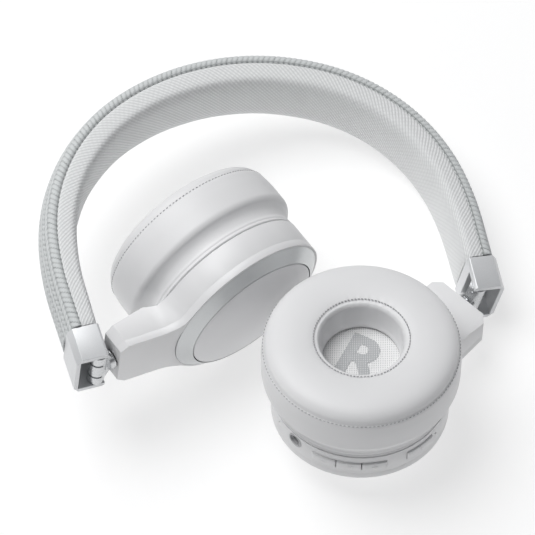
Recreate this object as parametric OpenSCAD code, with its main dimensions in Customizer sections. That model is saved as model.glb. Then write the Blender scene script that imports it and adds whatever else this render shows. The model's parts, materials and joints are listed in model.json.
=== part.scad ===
// Folding on-ear headphones, lying folded on a table.
// The band's arc lies in the XY plane, its top towards +Y, and its width runs along Z.

/* [Headband] */
// Width of the band over its padding
band_w = 26; // [22:1:32]
// Radius of the arc over the head
top_r = 90; // [85:1:95]
// Half angle of the arc over the head
top_a = 26.6; // [25:0.1:28]
// Radius of each shoulder arc
shoulder_r = 73; // [70:1:76]
// Angle of each shoulder arc
shoulder_a = 56.4; // [55:0.1:58]
// Radius of each side arc
side_r = 115; // [110:1:120]
// Angle of each side arc
side_a = 10.8; // [10:0.1:12]
// Length of the straight end of the band
end_l = 16; // [15:0.5:18]
// Height of the knit cover's crown above the piping line
crown = 3.5; // [3:0.1:4]
// Depth of the padding below the piping line
pad_depth = 11.2; // [10:0.1:12]

/* [Size adjustment] */
// Width of the slider strip
strip_w = 12; // [10:1:13]
// Thickness of the slider strip
strip_t = 1.2; // [1:0.1:1.4]
// Length of the slider strip inside the band
strip_l = 36; // [34:1:38]

/* [End caps] */
// Length of the end cap
cap_l = 13.5; // [13:0.1:15]
// Width of the end cap
cap_w = 25; // [24:0.5:26]
// Depth of the end cap's inner face below the piping line
cap_depth = 8.2; // [8:0.1:9]
// Wall thickness of the end cap
cap_wall = 1.6; // [1.4:0.1:2]

/* [Folding joints] */
// Fold pin's distance past the end of the band
pin_t = 10.5; // [10:0.1:10.8]
// Fold pin's depth below the piping line
pin_n = 5.5; // [5.3:0.1:5.7]
// Fold pin's radius
pin_r = 1.3; // [1.2:0.1:1.4]
// Folding barrel's radius
barrel_r = 3.3; // [3.2:0.1:3.4]
// Swivel shaft's radius
shaft_r = 2.6; // [2.4:0.1:2.7]
// Left ear: fold angle from hanging straight down
left_fold = 111.8; // [108:0.1:113]
// Left ear: swivel about its arm
left_swivel = -1; // [-3:0.1:2]
// Right ear: fold angle from hanging straight down
right_fold = 62.5; // [50:0.1:64]
// Right ear: swivel about its arm
right_swivel = 78; // [70:0.1:82]

/* [Ears] */
// Distance from the fold pin to the middle of the ear cup
reach = 60.5; // [60:0.1:62]
// Gap between the fold pin's axis and the arm's end
arm_gap = 6.2; // [6:0.1:6.6]
// Width of the arm
arm_w = 27; // [26:0.5:28]
// Thickness of the arm at the fold
arm_t = 9.8; // [9.6:0.1:10.2]
// Radius of the cup shell
cup_r = 33.2; // [33:0.1:33.6]
// Height of the cup shell's outer rim above the arm's middle plane
rim_z = 10.5; // [10:0.1:11]
// Height of the cup shell's back below the arm's middle plane
back_z = 2.2; // [2:0.1:2.4]
// Radius of the cover disc
disc_r = 26.8; // [26.5:0.1:27]
// Height of the cover disc's edge above the arm's middle plane
disc_z = 14.2; // [14:0.1:14.4]
// Largest radius of the ear pad
pad_r = 36.6; // [36:0.1:37]
// Radius of the hole in the ear pad
hole_r = 15; // [14.5:0.1:16]
// Depth of the ear pad's face below the arm's middle plane
face_z = 31.5; // [30:0.1:32]
// Depth of the fabric mesh below the arm's middle plane
mesh_z = 17; // [16.5:0.1:17.5]

/* [Controls] */
// Height of the buttons
button_h = 4; // [3.6:0.1:4.2]
// Angle that each of the buttons in the row takes up round the rim
button_pitch = 16.2; // [15:0.1:17]
// How far a button stands proud of the shell
button_proud = 0.7; // [0.6:0.1:0.8]
// Bore radius of the audio socket
jack_r = 1.8; // [1.75:0.01:1.85]

/* [Hidden] */
$fn = 96;

// How the folded headphones lie on the table: tips about X and Y, then the move to the origin
lie_tip = [3.8, 12, 0];
lie_move = [1.4, 86, 36.6];

seg_r = [top_r, shoulder_r, side_r];
seg_a = [top_a, shoulder_a, side_a];
seg_steps = [4, 9, 2];
end_gap = 0.3;
run_gap = 0.05;
eps = 0.01;

band_core_t = 1.2;
band_core_w = 18;
cover_edge = 1;
core_top = 1.2;
pad_top = 2.6;
crown_r = 27;
cover_w = 23;

rail_wall = 1.1;
rail_gap = 0.15;
strip_n = 5.3;

cheek_w = 2.3;
cap_top = 3;
cap_chamfer = 2;
mouth_t = 5;

link_w = 2 * (cap_w / 2 - cheek_w - 0.3);
bush_r = 3.8;
bush_l = 10;
clip_r = 3.4;
shaft_end = 21;

fillet_r = 14;
face_t = 3;
wall_t = 2.2;
floor_t = 1.8;
ring_gap = 0.4;

neck_r = 29.3;
screw_r = 0.8;
driver_r = 20;

first_button = -22.2;
button_row = [for (k = [0:2]) first_button - k * button_pitch];
button_z = 3;
button_gap_a = 0.6;
power_at = -86.8;
power_a = 21;
power_z = 2.4;
jack_z = 1.3;
jack_outer_r = 3.1;
jack_l = 12;
charge_at = 38;
charge_z = 3;
charge_w = 9;
charge_h = 3.3;
microphone_at = 17;
light_at = -101.5;

white = "whitesmoke";
silver = "silver";

// --- layout of the band and the ears ---

// heading after band segment i, and the points where the segments meet
function turned(i) = i < 0 ? 0 : turned(i - 1) + seg_a[i];
function outward(a) = [sin(a), cos(a)];
function centre(i) = knot(i - 1) - seg_r[i] * outward(turned(i - 1));
function knot(i) = i < 0 ? [0, 0] : centre(i) + seg_r[i] * outward(turned(i));

module lie() {
    translate(lie_move) rotate(lie_tip) children();
}

module side(m) {
    if (m < 0) mirror([1, 0, 0]) children();
    else children();
}

// stations along the right half of the band, each with its place and heading
function station(i, a) = [centre(i) + seg_r[i] * outward(a), a];
function half_path(last) = [for (i = [0:last], k = [1:seg_steps[i]])
    station(i, turned(i - 1) + seg_a[i] * k / seg_steps[i])];
function flipped(path) = [for (k = [len(path) - 1:-1:0])
    [[-path[k][0][0], path[k][0][1]], -path[k][1]]];
function whole_path(half) = concat(flipped(half), [[knot(-1), 0]], half);
function down_from(p, l) = [p[0] + l * [cos(p[1]), -sin(p[1])], p[1]];

// one solid through the same-sized sections, each a list of (outward, width) points
module sweep(path, sections) {
    n = len(sections[0]);
    points = [for (k = [0:len(path) - 1], q = sections[k])
        let (o = outward(path[k][1])) [path[k][0][0] + q[0] * o[0], path[k][0][1] + q[0] * o[1], q[1]]];
    sides = [for (k = [0:len(path) - 2], j = [0:n - 1])
        [k * n + j, k * n + (j + 1) % n, (k + 1) * n + (j + 1) % n, (k + 1) * n + j]];
    last = (len(path) - 1) * n;
    ends = [[for (j = [n - 1:-1:0]) j], [for (j = [0:n - 1]) last + j]];
    polyhedron(points, concat(sides, ends), convexity = 6);
}

// the frame at the start of the straight end: x outward, y up the band, z across it
module band_end() {
    translate(knot(2)) rotate(90 - turned(2)) children();
}

// the frame at the end of the band, where the cap starts
module cap_frame() {
    band_end() translate([0, -end_l, 0]) children();
}

// the folding link's frame: x along the arm, z along the fold pin
module fold_frame(m) {
    fold = m < 0 ? left_fold : right_fold;
    cap_at = knot(2) - end_l * [-cos(turned(2)), sin(turned(2))];
    pin = cap_at - pin_n * outward(turned(2)) - pin_t * [-cos(turned(2)), sin(turned(2))];
    side(m) translate(pin) rotate(270 - fold) children();
}

// the arm's frame: x along the arm, y across it, z towards the outer face
module arm_frame(m) {
    swivel = m < 0 ? left_swivel : right_swivel;
    fold_frame(m) rotate([-90 - swivel, 0, 0]) children();
}

// the cup's frame: its origin in the middle of the cup
module cup_frame(m) {
    arm_frame(m) translate([reach, 0, 0]) children();
}

// --- headband ---

// points along an arc about (cx, cy)
function turn(cx, cy, r, a0, a1, steps = 6) =
    [for (k = [0:steps]) let (a = a0 + (a1 - a0) * k / steps) [cx + r * cos(a), cy + r * sin(a)]];

function cover_section() = let (edge_a = asin(cover_w / 2 / crown_r))
    concat([[-cover_edge, -cover_w / 2]],
        turn(crown - crown_r, 0, crown_r, -edge_a, edge_a, 8),
        [[-cover_edge, cover_w / 2]]);

function pad_section(depth) = let (r = 4)
    concat([[-pad_top, band_w / 2], [-pad_top, -band_w / 2]],
        turn(r - depth, r - band_w / 2, r, 270, 180),
        turn(r - depth, band_w / 2 - r, r, 180, 90));

function core_section() = let (w = band_core_w / 2, low = -core_top - band_core_t)
    [[low, -w], [-core_top, -w], [-core_top, w], [low, w]];

module band_core() {
    path = whole_path(half_path(1));
    color("dimgray") lie() sweep(path, [for (p = path) core_section()]);
}

module band_cover() {
    half = half_path(2);
    path = whole_path(concat(half, [down_from(half[len(half) - 1], end_l - end_gap)]));
    color("darkgray") lie() sweep(path, [for (p = path) cover_section()]);
}

module band_pad() {
    half = half_path(2);
    path = whole_path(concat(half, [down_from(half[len(half) - 1], end_l - end_gap)]));
    end_depth = cap_depth + 0.2;
    mid = (len(path) - 1) / 2;
    color(white) lie() difference() {
        sweep(path, [for (k = [0:len(path) - 1])
            pad_section(end_depth + (pad_depth - end_depth) * cos(90 * abs(k - mid) / mid))]);
        for (m = [-1, 1]) side(m) cap_frame()
            rail_block(rail_wall + rail_gap + 0.1, strip_l + 2, -1);
    }
}

// the straight space round the slider strip, grown by g on every side
module rail_block(g, l, start = 0) {
    translate([-strip_n - strip_t / 2 - g, start, -strip_w / 2 - g])
        cube([strip_t + 2 * g, l, strip_w + 2 * g]);
}

module rail(m) {
    color("gainsboro") lie() side(m) cap_frame() difference() {
        rail_block(rail_wall + rail_gap, strip_l + 0.5, end_gap);
        rail_block(rail_gap, strip_l + 2, -1);
    }
}

module slider_strip(m) {
    notch_step = 4;
    color("lightgray") lie() side(m) cap_frame() difference() {
        rail_block(0, strip_l + cap_top - 0.5, -cap_top + 0.5);
        for (k = [1:8]) translate([-strip_n - strip_t, k * notch_step, strip_w / 2])
            cylinder(r = 0.8, h = 4, center = true);
        for (k = [1:8]) translate([-strip_n, k * notch_step, 0])
            rotate([0, 90, 0]) cylinder(r = 0.9, h = 3, center = true);
    }
}

// --- end caps and fold pins ---

module cap_section() {
    w = cap_w / 2;
    c = cap_chamfer;
    b = 0.8;
    top = crown + 0.3;
    polygon([[top, -w + c + 1], [top, w - c - 1], [top - c, w], [b - cap_depth, w],
             [-cap_depth, w - b], [-cap_depth, b - w], [b - cap_depth, -w], [top - c, -w]]);
}

module end_cap(m) {
    inside_w = cap_w - 2 * cheek_w;
    color(silver) lie() side(m) cap_frame() difference() {
        rotate([90, 0, 0]) linear_extrude(cap_l) cap_section();
        translate([-cap_depth + cap_wall, -cap_l - 1, -inside_w / 2])
            cube([crown + 0.3 + cap_depth - 2 * cap_wall, cap_l + 1 - cap_top, inside_w]);
        translate([-cap_depth - 1, -cap_l - 1, -inside_w / 2])
            cube([cap_wall + 2, cap_l + 1 - mouth_t, inside_w]);
        translate([0, eps, 0]) rail_block(0.03, cap_top + 0.5, -cap_top);
        translate([-pin_n, -pin_t, 0]) cylinder(r = pin_r, h = inside_w + 2.8, center = true);
    }
}

module fold_pin(m) {
    color("gray") lie() side(m) cap_frame() translate([-pin_n, -pin_t, 0])
        cylinder(r = pin_r, h = cap_w - 2 * cheek_w + 2.6, center = true);
}

// --- folding link with the swivel shaft ---

module fold_link(m) {
    neck_w = link_w - 3;
    color(silver) lie() fold_frame(m) difference() {
        union() {
            cylinder(r = barrel_r, h = link_w, center = true);
            rotate([90, 0, 0]) linear_extrude(4.4, center = true)
                polygon([[0, -neck_w / 2], [2.6, -neck_w / 2], [5, -4], [5, 4], [2.6, neck_w / 2],
                         [0, neck_w / 2]]);
            rotate([0, 90, 0]) translate([0, 0, 3.4]) cylinder(r = 4.2, h = 2.2);
            rotate([0, 90, 0]) translate([0, 0, 3]) cylinder(r = shaft_r, h = shaft_end - 3);
        }
        cylinder(r = pin_r + run_gap, h = cap_w, center = true);
        rotate([0, 90, 0]) translate([0, 0, clip_x()]) difference() {
            cylinder(r = shaft_r + 1, h = 1.2);
            translate([0, 0, -1]) cylinder(r = shaft_r - 0.8, h = 4);
        }
        for (s = [-1, 1]) translate([-barrel_r - 1, -barrel_r - 1, s * 4.4 - 0.6])
            difference() {
                cube([2 * barrel_r + 2, 2 * barrel_r + 2, 1.2]);
                translate([barrel_r + 1, barrel_r + 1, -1]) cylinder(r = barrel_r - 0.7, h = 4);
                translate([barrel_r + 1, 0, -1]) cube([barrel_r + 2, 2 * barrel_r + 2, 4]);
            }
    }
}

function clip_x() = arm_gap + 1.5 + bush_l + 0.5;

module swivel_clip(m) {
    color("dimgray") lie() fold_frame(m) rotate([0, 90, 0]) translate([0, 0, clip_x() + 0.1])
        difference() {
            cylinder(r = clip_r, h = 1);
            translate([0, 0, -1]) cylinder(r = shaft_r - 0.8, h = 3);
            translate([0, 0, 0.5]) rotate([0, 0, 45]) translate([3, 0, 0])
                cube([6, 2.6, 3], center = true);
        }
}

// --- arm and cup shell ---

// the outline of the arm and the round shell, seen from the outer face
module arm_plan() {
    half = arm_w / 2;
    corner = 3;
    away = sqrt(pow(cup_r + fillet_r, 2) - pow(half + fillet_r, 2));
    meet = 180 - atan((half + fillet_r) / away);
    flare = turn(reach - away, half + fillet_r, fillet_r, meet - 180, -90, 6);
    upper = concat(flare, [[arm_gap + corner, half], [arm_gap, half - corner]]);
    lower = [for (k = [len(upper) - 1:-1:0]) [upper[k][0], -upper[k][1]]];
    round_end = turn(reach, 0, cup_r, 2 - meet, meet - 2, 64);
    polygon(concat(round_end, upper, lower));
}

// the arm seen from its edge: the outer face rises to the rim, and the inner to the shell's back
module arm_profile(is_body) {
    knee = reach - cup_r + 3;
    start = arm_gap - 2;
    end = reach + cup_r + 2;
    slope = (rim_z - arm_t / 2) / (knee - arm_gap);
    top_start = arm_t / 2 - (arm_gap - start) * slope;
    polygon(is_body
        ? [[start, -arm_t / 2], [shaft_end + 1.5, -arm_t / 2], [reach - cup_r, -back_z], [end, -back_z],
           [end, rim_z - face_t], [knee, rim_z - face_t], [start, top_start - face_t]]
        : [[start, top_start - face_t], [knee, rim_z - face_t], [end, rim_z - face_t],
           [end, rim_z], [knee, rim_z], [start, top_start]]);
}

module arm_block(is_body) {
    intersection() {
        translate([0, 0, -20]) linear_extrude(40) arm_plan();
        rotate([90, 0, 0]) linear_extrude(100, center = true) arm_profile(is_body);
    }
}

// the bore for the swivel bush and the pocket behind it, where the clip turns
module swivel_bore() {
    rotate([0, 90, 0]) translate([0, 0, arm_gap - 2]) cylinder(r = bush_r, h = bush_l + 3.5);
    rotate([0, 90, 0]) translate([0, 0, clip_x() - 1.5])
        cylinder(r = clip_r + 0.3, h = shaft_end - clip_x() + 3);
}

module arm_body(m) {
    color(white) lie() arm_frame(m) difference() {
        arm_block(true);
        translate([reach, 0, -back_z + floor_t]) cylinder(r = cup_r - wall_t, h = 20);
        translate([reach, 0, -back_z - 1]) cylinder(r = driver_r + 2, h = 20);
        translate([reach, 0, 0]) screw_holes();
        swivel_bore();
        if (m > 0) right_openings();
    }
}

module arm_face(m) {
    rebate = 0.8;
    color(white) lie() arm_frame(m) difference() {
        arm_block(false);
        translate([reach, 0, 0]) cylinder(r = cup_r - wall_t, h = 30);
        translate([reach, 0, rim_z - 1.2]) cylinder(r = cup_r - rebate, h = 5);
        swivel_bore();
    }
}

module swivel_bush(m) {
    color("gray") lie() arm_frame(m) rotate([0, 90, 0]) translate([0, 0, arm_gap + 1.5])
        difference() {
            cylinder(r = bush_r - run_gap, h = bush_l);
            translate([0, 0, -1]) cylinder(r = shaft_r + run_gap, h = bush_l + 2);
        }
}

module trim_ring(m) {
    color("darkgray") lie() cup_frame(m) rotate_extrude()
        polygon([[cup_r - 0.9, rim_z - 1.1], [cup_r - 0.9, rim_z], [disc_r + ring_gap, disc_z - 0.1],
                 [disc_r + ring_gap, disc_z - 2], [cup_r - wall_t - 0.3, rim_z - 1.1]]);
}

module cover_disc(m) {
    dome = 1.4;
    dome_r = (disc_r * disc_r + dome * dome) / (2 * dome);
    color("lightgray") lie() cup_frame(m) {
        intersection() {
            translate([0, 0, disc_z - 2]) cylinder(r = disc_r, h = 6);
            translate([0, 0, disc_z + dome - dome_r]) sphere(dome_r, $fn = 200);
        }
        translate([0, 0, disc_z - 5]) difference() {
            cylinder(r = disc_r - 3, h = 3 + eps);
            translate([0, 0, -1]) cylinder(r = disc_r - 4.6, h = 5);
        }
    }
}

// --- inside and under the ear ---

module driver_housing(m) {
    plate_z = -mesh_z + 1;
    color("gainsboro") lie() cup_frame(m) difference() {
        rotate_extrude() polygon([[driver_r + 0.2, plate_z], [neck_r, plate_z], [neck_r, -back_z - 0.2],
                 [neck_r - 6, -back_z - 0.2], [neck_r - 6, -back_z - 1.8],
                 [neck_r - 2, -back_z - 1.8], [neck_r - 2, plate_z + 1.8],
                 [driver_r + 0.2, plate_z + 1.8]]);
        screw_holes();
    }
}

module screw_places() {
    count = 4;
    for (k = [0:count - 1]) rotate(45 + k * 360 / count) translate([neck_r - 4.3, 0, 0]) children();
}

module screw_holes() {
    screw_places() translate([0, 0, -back_z - 4]) cylinder(r = screw_r + run_gap, h = 6);
}

module housing_screws(m) {
    color("dimgray") lie() cup_frame(m) screw_places() {
        translate([0, 0, -back_z + floor_t]) cylinder(r = 2 * screw_r, h = 1.1);
        translate([0, 0, -back_z - 1.7]) cylinder(r = screw_r, h = floor_t + 1.8);
    }
}

module driver_frame(m) {
    color("gray") lie() cup_frame(m) rotate_extrude()
        polygon([[driver_r - 2.4, -mesh_z + 1], [driver_r, -mesh_z + 1], [driver_r, -mesh_z + 3.4],
                 [12, -7.5], [12, -6], [6, -6], [6, -7.5], [11, -7.5], [11, -9],
                 [driver_r - 2.4, -mesh_z + 3]]);
}

module driver_magnet(m) {
    color("dimgray") lie() cup_frame(m) translate([0, 0, -5.8]) cylinder(r = 10.5, h = 3.2);
}

module diaphragm(m) {
    color("lightgray") lie() cup_frame(m) rotate_extrude()
        polygon([[0, -12.4], [6, -13.2], [driver_r - 3, -mesh_z + 2.6], [driver_r - 2.6, -mesh_z + 2.6],
                 [driver_r - 2.6, -mesh_z + 2.2], [driver_r - 3, -mesh_z + 2.2], [6, -13.6], [0, -12.8]]);
}

module ear_mesh(m) {
    color(white) lie() cup_frame(m) translate([0, 0, -mesh_z]) difference() {
        cylinder(r = driver_r + 4, h = 0.9);
        translate([0, 0, 0.5]) cylinder(r = driver_r + 1, h = 2);
    }
}

module pad_ring(m) {
    color("gainsboro") lie() cup_frame(m) translate([0, 0, -back_z - 2.4]) difference() {
        cylinder(r = neck_r + 1.6, h = 2.2);
        translate([0, 0, -1]) cylinder(r = neck_r + 0.1, h = 5);
    }
}

// the pad's section: a cushion with rounded corners over a concave skirt
module ear_pad_section() {
    seam_z = -9.5;
    outer_c = 7;
    inner_c = 6;
    skirt_r = cup_r - 0.3;
    polygon(concat(
        [[neck_r + 0.1, -back_z - 2.6], [neck_r + 1.8, -back_z - 2.6], [neck_r + 1.8, -back_z - 0.3],
         [skirt_r, -back_z - 0.3], [skirt_r - 0.2, seam_z + 4.5], [skirt_r + 0.2, seam_z + 1.8]],
        turn(pad_r - 3, seam_z - 3, 3, 70, 0),
        turn(pad_r - outer_c, -face_z + outer_c, outer_c, 0, -90),
        turn(hole_r + inner_c, -face_z + inner_c, inner_c, 270, 180),
        [[hole_r, -mesh_z - 0.1], [neck_r + 0.1, -mesh_z - 0.1]]));
}

module ear_pad(m) {
    color(white) lie() cup_frame(m) rotate_extrude() ear_pad_section();
}

module battery() {
    color("dimgray") lie() cup_frame(-1) translate([0, 0, 4]) cube([30, 24, 5], center = true);
}

// --- controls and sockets of the right ear ---

module rim_place(angle, r, z) {
    rotate(angle) translate([r, 0, z]) children();
}

// a block of the shell's rim that spans an angle about at
module rim_block(at, span, z, grow) {
    inner = cup_r - wall_t - 0.6 - grow;
    rotate(at - span / 2) rotate_extrude(angle = span)
        translate([inner, z - button_h / 2 - grow])
            square([cup_r + button_proud + grow - inner, button_h + 2 * grow]);
}

module row_button(k) {
    color(white) lie() cup_frame(1)
        rim_block(button_row[k], button_pitch - button_gap_a, button_z, 0);
}

module right_openings() {
    slot_gap = 0.2;
    translate([reach, 0, 0]) {
        rim_block(button_row[1], 3 * button_pitch + 0.1, button_z, slot_gap);
        rim_block(power_at, power_a + button_gap_a, power_z, slot_gap);
        rim_place(0, 20, jack_z) rotate([0, 90, 0]) cylinder(r = jack_outer_r + run_gap, h = 20);
        rim_place(charge_at, 20, charge_z) charge_outline(0.05, 20);
        rim_place(microphone_at, 28, jack_z) rotate([0, 90, 0]) cylinder(r = 0.5, h = 8);
        rim_place(light_at, 28, power_z) rotate([0, 90, 0]) cylinder(r = 0.6, h = 8);
    }
}

module charge_outline(g, l) {
    r = charge_h / 2 + g;
    rotate([90, 0, 90]) linear_extrude(l) {
        for (s = [-1, 1]) translate([s * (charge_w - charge_h) / 2, 0]) circle(r);
        square([charge_w - charge_h, 2 * r], center = true);
    }
}

module power_button() {
    color(white) lie() cup_frame(1) rim_block(power_at, power_a, power_z, 0);
}

module button_switches() {
    switch_r = 28.2;
    color("dimgray") lie() cup_frame(1) {
        for (a = button_row) rim_place(a, switch_r, button_z) cube([2.4, 4, 3], center = true);
        rim_place(power_at, switch_r, power_z) cube([2.4, 4, 3], center = true);
    }
}

module audio_socket() {
    color("dimgray") lie() cup_frame(1) rim_place(0, cup_r - jack_l + 0.1, jack_z) rotate([0, 90, 0])
        difference() {
            cylinder(r = jack_outer_r, h = jack_l);
            translate([0, 0, 1.5]) cylinder(r = jack_r, h = jack_l);
            translate([0, 0, jack_l - 0.8]) cylinder(r = jack_r + 0.7, h = 2);
        }
}

module charge_socket() {
    wall = 0.5;
    depth = 7;
    color(silver) lie() cup_frame(1) rim_place(charge_at, cup_r - depth - 0.4, charge_z)
        difference() {
            charge_outline(0, depth);
            translate([0.8, 0, 0]) charge_outline(-wall, depth);
        }
}

module circuit_board() {
    color("seagreen") lie() cup_frame(1) translate([0, 0, 6.2]) {
        difference() {
            cylinder(r = 18, h = 1);
            for (s = [-1, 1]) translate([s * 14, 0, -1]) cylinder(r = 1.2, h = 3);
        }
        translate([-4, -4, 1 - eps]) cube([8, 8, 1.2]);
        translate([6, 2, 1 - eps]) cube([4, 4, 1]);
    }
}

band_core();
band_cover();
band_pad();
rail(-1);  // left_rail
rail(1);  // right_rail
slider_strip(-1);  // left_slider_strip
end_cap(-1);  // left_end_cap
fold_pin(-1);  // left_fold_pin
fold_link(-1);  // left_fold_link
swivel_clip(-1);  // left_swivel_clip
swivel_bush(-1);  // left_swivel_bush
arm_body(-1);  // left_arm_body
arm_face(-1);  // left_arm_face
trim_ring(-1);  // left_trim_ring
cover_disc(-1);  // left_cover_disc
driver_housing(-1);  // left_driver_housing
housing_screws(-1);  // left_housing_screws
driver_frame(-1);  // left_driver_frame
driver_magnet(-1);  // left_driver_magnet
diaphragm(-1);  // left_diaphragm
ear_mesh(-1);  // left_ear_mesh
pad_ring(-1);  // left_pad_ring
ear_pad(-1);  // left_ear_pad
slider_strip(1);  // right_slider_strip
end_cap(1);  // right_end_cap
fold_pin(1);  // right_fold_pin
fold_link(1);  // right_fold_link
swivel_clip(1);  // right_swivel_clip
swivel_bush(1);  // right_swivel_bush
arm_body(1);  // right_arm_body
arm_face(1);  // right_arm_face
trim_ring(1);  // right_trim_ring
cover_disc(1);  // right_cover_disc
driver_housing(1);  // right_driver_housing
housing_screws(1);  // right_housing_screws
driver_frame(1);  // right_driver_frame
driver_magnet(1);  // right_driver_magnet
diaphragm(1);  // right_diaphragm
ear_mesh(1);  // right_ear_mesh
pad_ring(1);  // right_pad_ring
ear_pad(1);  // right_ear_pad
battery();
circuit_board();
button_switches();
audio_socket();
charge_socket();
row_button(0);  // volume_down_button
row_button(1);  // play_button
row_button(2);  // volume_up_button
power_button();
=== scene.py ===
"""Knit, leather, plastic and metal finishes for folding headphones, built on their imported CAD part."""

import json
import math

import bmesh
import bpy
from mathutils import Matrix, Vector

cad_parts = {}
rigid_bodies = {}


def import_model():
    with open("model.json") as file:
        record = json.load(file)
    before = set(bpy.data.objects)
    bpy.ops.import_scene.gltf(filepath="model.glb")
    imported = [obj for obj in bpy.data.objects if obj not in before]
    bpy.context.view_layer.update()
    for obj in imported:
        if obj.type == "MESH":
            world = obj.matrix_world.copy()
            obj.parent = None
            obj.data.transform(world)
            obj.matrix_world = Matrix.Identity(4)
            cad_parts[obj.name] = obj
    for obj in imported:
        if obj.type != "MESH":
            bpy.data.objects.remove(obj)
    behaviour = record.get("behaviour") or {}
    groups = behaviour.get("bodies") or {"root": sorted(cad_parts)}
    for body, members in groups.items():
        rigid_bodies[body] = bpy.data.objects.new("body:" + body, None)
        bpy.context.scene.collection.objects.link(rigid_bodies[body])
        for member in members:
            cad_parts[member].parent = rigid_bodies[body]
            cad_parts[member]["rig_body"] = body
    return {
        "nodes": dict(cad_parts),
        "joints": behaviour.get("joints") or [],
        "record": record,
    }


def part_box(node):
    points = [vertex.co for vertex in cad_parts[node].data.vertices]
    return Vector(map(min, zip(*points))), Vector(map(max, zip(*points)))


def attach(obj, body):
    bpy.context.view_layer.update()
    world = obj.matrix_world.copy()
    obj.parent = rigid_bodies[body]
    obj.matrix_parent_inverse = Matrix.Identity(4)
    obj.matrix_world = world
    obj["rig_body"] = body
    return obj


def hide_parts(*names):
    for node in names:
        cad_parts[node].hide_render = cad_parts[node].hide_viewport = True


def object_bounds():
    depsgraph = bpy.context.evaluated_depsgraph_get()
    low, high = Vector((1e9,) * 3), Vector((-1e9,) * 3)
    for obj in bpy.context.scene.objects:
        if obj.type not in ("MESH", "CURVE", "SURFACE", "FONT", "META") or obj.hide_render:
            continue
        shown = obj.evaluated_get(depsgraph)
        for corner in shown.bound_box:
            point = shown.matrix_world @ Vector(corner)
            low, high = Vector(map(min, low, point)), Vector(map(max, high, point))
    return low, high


bl_info = {
    "name": "Folding Headphones",
    "version": (1, 0, 0),
    "blender": (4, 5, 0),
    "location": "View3D > Sidebar > Headphones",
    "description": "Builds the soft parts, finishes and studio for a pair of folding headphones",
    "category": "Object",
}

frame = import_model()
CAD_BOX = [list(corner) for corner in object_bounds()]
MM = 0.001
SIDES = ("left", "right")
BUTTONS = ("volume_down_button", "play_button", "volume_up_button", "power_button")
JOINTS = {joint["name"]: joint for joint in frame["joints"]}

# half of the band as arcs from its top, (radius in millimetres, angle in degrees), then a straight end
BAND_ARCS = ((90.0, 26.6), (73.0, 56.4), (115.0, 10.8))
BAND_END = 15.7
PIN_ALONG = 10.5 + 0.3
PIN_DEPTH = 5.5
REACH = 60.5
DRIVER_MESH_Z = -17.0
DISC_R = 26.8
DISC_Z = 14.2
MARK_R = 33.9


# --- frames of the band and of the ears ---


def band_point(s):
    """Place (x, y) and heading of the band's piping line at s millimetres from its top."""
    x, y, heading, left = 0.0, 0.0, 0.0, abs(s)
    for radius, degrees in BAND_ARCS:
        turn = min(math.radians(degrees), left / radius)
        cx, cy = x - radius * math.sin(heading), y - radius * math.cos(heading)
        heading += turn
        x, y = cx + radius * math.sin(heading), cy + radius * math.cos(heading)
        left -= turn * radius
        if left <= 1e-9:
            break
    x, y = x + left * math.cos(heading), y - left * math.sin(heading)
    return (x, y, heading) if s >= 0 else (-x, y, -heading)


BAND_HALF = sum(r * math.radians(a) for r, a in BAND_ARCS) + BAND_END


def band_frame():
    """The band's own frame in the row frame: x to the right, y to the top, z across the band."""
    left, right = (Vector(JOINTS[side + "_fold"]["pos_m"]) for side in SIDES)
    x_axis = (right - left).normalized()
    z_axis = Vector(JOINTS["left_fold"]["axis"]).normalized()
    y_axis = z_axis.cross(x_axis)
    end_x, end_y, heading = band_point(BAND_HALF)
    pin_y = end_y - PIN_DEPTH * math.cos(heading) - PIN_ALONG * math.sin(heading)
    origin = (left + right) / 2 - y_axis * pin_y * MM
    return Matrix.Translation(origin) @ Matrix((x_axis, y_axis, z_axis)).transposed().to_4x4()


def middle(node):
    low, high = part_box(node)
    return (low + high) / 2


def ear_frame(side):
    """The cup's frame: x along the arm away from the fold, z to the outer face, origin in the cup."""
    sign = -1 if side == "right" else 1
    along = Vector(JOINTS[side + "_swivel"]["axis"]).normalized() * sign
    origin = Vector(JOINTS[side + "_fold"]["pos_m"]) + along * REACH * MM
    outer = origin - middle(side + "_ear_mesh")
    outer = (outer - along * outer.dot(along)).normalized()
    axes = Matrix((along, outer.cross(along), outer)).transposed()
    return Matrix.Translation(origin) @ axes.to_4x4()


BAND = band_frame()
EARS = {side: ear_frame(side) for side in SIDES}


# --- sizes and colours ---


class BandSettings(bpy.types.PropertyGroup):
    """Sizes and colours of the knit band."""

    half_width: bpy.props.FloatProperty(
        name="Half Width", description="Half of the padding's width", default=0.013, unit="LENGTH"
    )
    depth: bpy.props.FloatProperty(
        name="Depth", description="Depth of the padding at the top", default=0.0112, unit="LENGTH"
    )
    end_depth: bpy.props.FloatProperty(
        name="End Depth", description="Depth of the padding at the caps", default=0.0084, unit="LENGTH"
    )
    rib: bpy.props.FloatProperty(
        name="Rib", description="Distance between the ribs of the padding", default=0.0013, unit="LENGTH"
    )
    wale: bpy.props.FloatProperty(
        name="Wale", description="Width of a column of cover stitches", default=0.0023, unit="LENGTH"
    )
    padding_colour: bpy.props.FloatVectorProperty(
        name="Padding Colour", description="Colour of the padding's knit", subtype="COLOR",
        size=4, min=0, max=1, default=(0.83, 0.84, 0.84, 1),
    )
    yarn_colour: bpy.props.FloatVectorProperty(
        name="Yarn Colour", description="Colour of the cover's raised yarn", subtype="COLOR",
        size=4, min=0, max=1, default=(0.66, 0.68, 0.68, 1),
    )
    # painted shade: the colour the cover's stitches darken to in the gaps between them, where shade falls
    recess_shade_colour: bpy.props.FloatVectorProperty(
        name="Gap Colour", description="Colour between the cover's stitches", subtype="COLOR",
        size=4, min=0, max=1, default=(0.20, 0.215, 0.215, 1),
    )


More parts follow.
